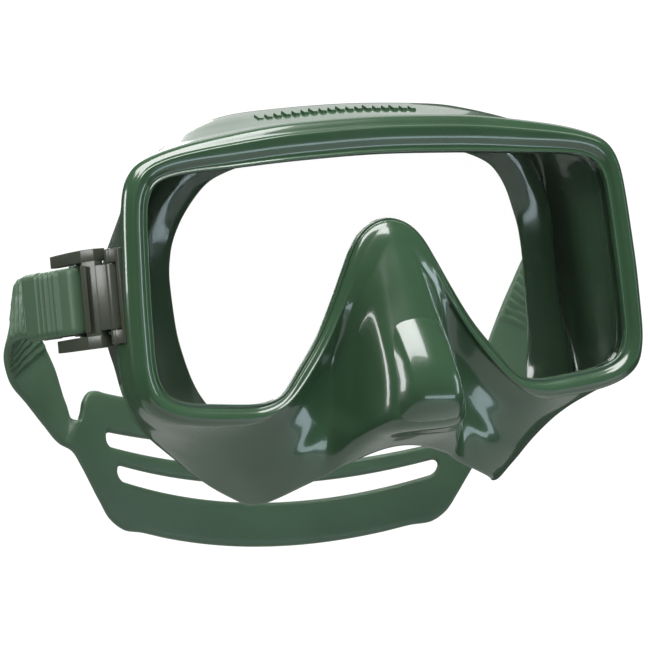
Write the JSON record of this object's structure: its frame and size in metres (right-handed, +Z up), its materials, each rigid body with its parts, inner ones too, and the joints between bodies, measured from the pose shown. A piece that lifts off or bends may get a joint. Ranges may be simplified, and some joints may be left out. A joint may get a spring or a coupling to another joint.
{
  "type": "diving mask",
  "caption": "Single-lens diving mask with a soft silicone skirt and nose pocket, swivelling strap buckles and a split head strap.",
  "frame": {"origin": "middle of the plane in which the skirt seals against the temples, level with the buckles", "axes": "+X across the mask, +Y from the lens towards the wearer's face, +Z up"},
  "size_m": [0.1896, 0.1046, 0.1292],
  "materials": {
    "skirt_silicone": "glossy moulded silicone, bottle green",
    "strap_silicone": "satin moulded silicone, bottle green",
    "lens_glass": "clear tempered glass",
    "buckle_plastic": "semi-gloss moulded plastic, dark olive",
    "roller_plastic": "turned acetal",
    "pawl_plastic": "moulded acetal, dark olive",
    "pin_steel": "stainless steel",
    "spring_steel": "stainless spring wire"
  },
  "bodies": {
    "mask": {"skirt": "skirt_silicone", "lens": "lens_glass", "strap_band": "strap_silicone", "buckle_anchor_left": "buckle_plastic", "hinge_pin_left": "pin_steel", "buckle_anchor_right": "buckle_plastic", "hinge_pin_right": "pin_steel"},
    "buckle_left": {"buckle_frame_left": "buckle_plastic", "roller_pin_left": "pin_steel", "pawl_pin_left": "pin_steel", "pawl_spring_left": "spring_steel", "strap_end_left": "strap_silicone"},
    "roller_left": {"strap_roller_left": "roller_plastic"},
    "pawl_left": {"release_pawl_left": "pawl_plastic"},
    "buckle_right": {"buckle_frame_right": "buckle_plastic", "roller_pin_right": "pin_steel", "pawl_pin_right": "pin_steel", "pawl_spring_right": "spring_steel", "strap_end_right": "strap_silicone"},
    "roller_right": {"strap_roller_right": "roller_plastic"},
    "pawl_right": {"release_pawl_right": "pawl_plastic"}
  },
  "joints": [
    {"name": "buckle_left_swing", "type": "hinge", "parent": "mask", "child": "buckle_left", "pos_m": [-0.085, -0.0362, 0], "axis": [0, 0, 1], "range_deg": [-1, 60]},
    {"name": "roller_left_spin", "type": "hinge", "parent": "buckle_left", "child": "roller_left", "pos_m": [-0.0884, -0.0205, 0], "axis": [0, 0, 1], "continuous": true},
    {"name": "pawl_left_release", "type": "hinge", "parent": "buckle_left", "child": "pawl_left", "pos_m": [-0.0862, -0.0304, 0], "axis": [0, 0, -1], "range_deg": [0, 12], "stiffness_Nm_per_rad": 0.02, "springref_deg": -11.46},
    {"name": "buckle_right_swing", "type": "hinge", "parent": "mask", "child": "buckle_right", "pos_m": [0.085, -0.0362, 0], "axis": [0, 0, -1], "range_deg": [-1, 60]},
    {"name": "roller_right_spin", "type": "hinge", "parent": "buckle_right", "child": "roller_right", "pos_m": [0.0884, -0.0205, 0], "axis": [0, 0, 1], "continuous": true},
    {"name": "pawl_right_release", "type": "hinge", "parent": "buckle_right", "child": "pawl_right", "pos_m": [0.0862, -0.0304, 0], "axis": [0, 0, 1], "range_deg": [0, 12], "stiffness_Nm_per_rad": 0.02, "springref_deg": -11.46}
  ]
}
